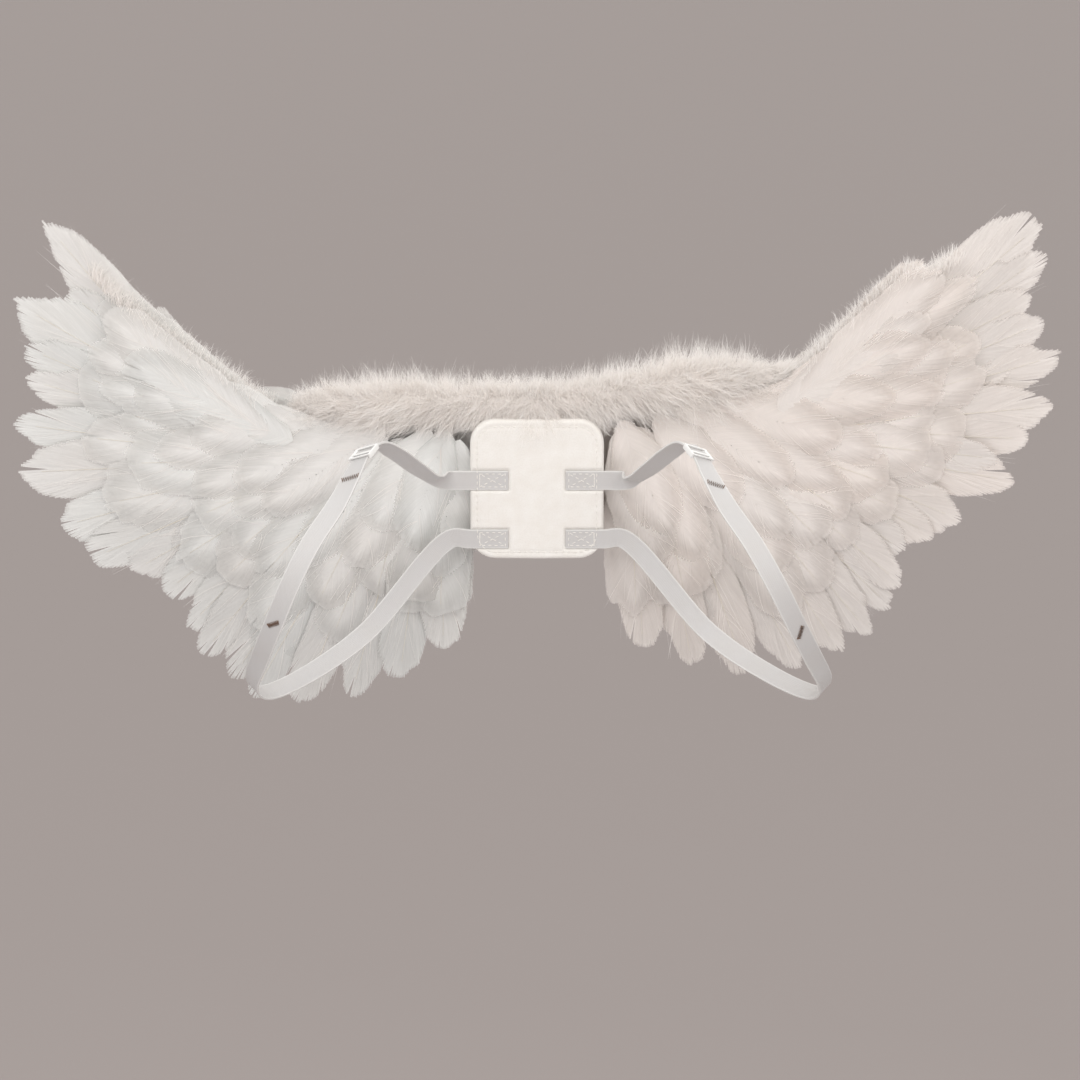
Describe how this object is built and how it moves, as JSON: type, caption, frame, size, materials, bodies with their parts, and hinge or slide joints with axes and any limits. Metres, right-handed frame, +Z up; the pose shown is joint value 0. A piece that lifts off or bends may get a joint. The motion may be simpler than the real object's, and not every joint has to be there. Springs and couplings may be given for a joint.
{
  "type": "angel wings",
  "caption": "Feather costume wings on a cloth back panel, with a marabou boa along the top and elastic shoulder straps.",
  "frame": {"origin": "centre of the back panel's front face, where it lies between the wearer's shoulder blades", "axes": "+Z up, +X along the span towards the right of the front view, which is the wearer's left, and the wearer faces -Y"},
  "size_m": [0.6702, 0.1954, 0.32],
  "materials": {
    "feather": "soft white feather vanes with ivory quills",
    "down": "fine fluffy marabou down",
    "felt": "matt white felt",
    "elastic": "satin woven white elastic",
    "slider_plastic": "semi-gloss white plastic"
  },
  "bodies": {
    "root": {"back_panel": "felt", "marabou_boa": "down", "left_covert_feathers": "feather", "left_secondary_feathers": "feather", "left_primary_feathers": "feather", "left_rear_secondary_feathers": "feather", "left_rear_covert_feathers": "feather", "left_strap": "elastic", "left_strap_slider": "slider_plastic", "right_covert_feathers": "feather", "right_secondary_feathers": "feather", "right_primary_feathers": "feather", "right_rear_secondary_feathers": "feather", "right_rear_covert_feathers": "feather", "right_strap": "elastic", "right_strap_slider": "slider_plastic"}
  },
  "joints": []
}
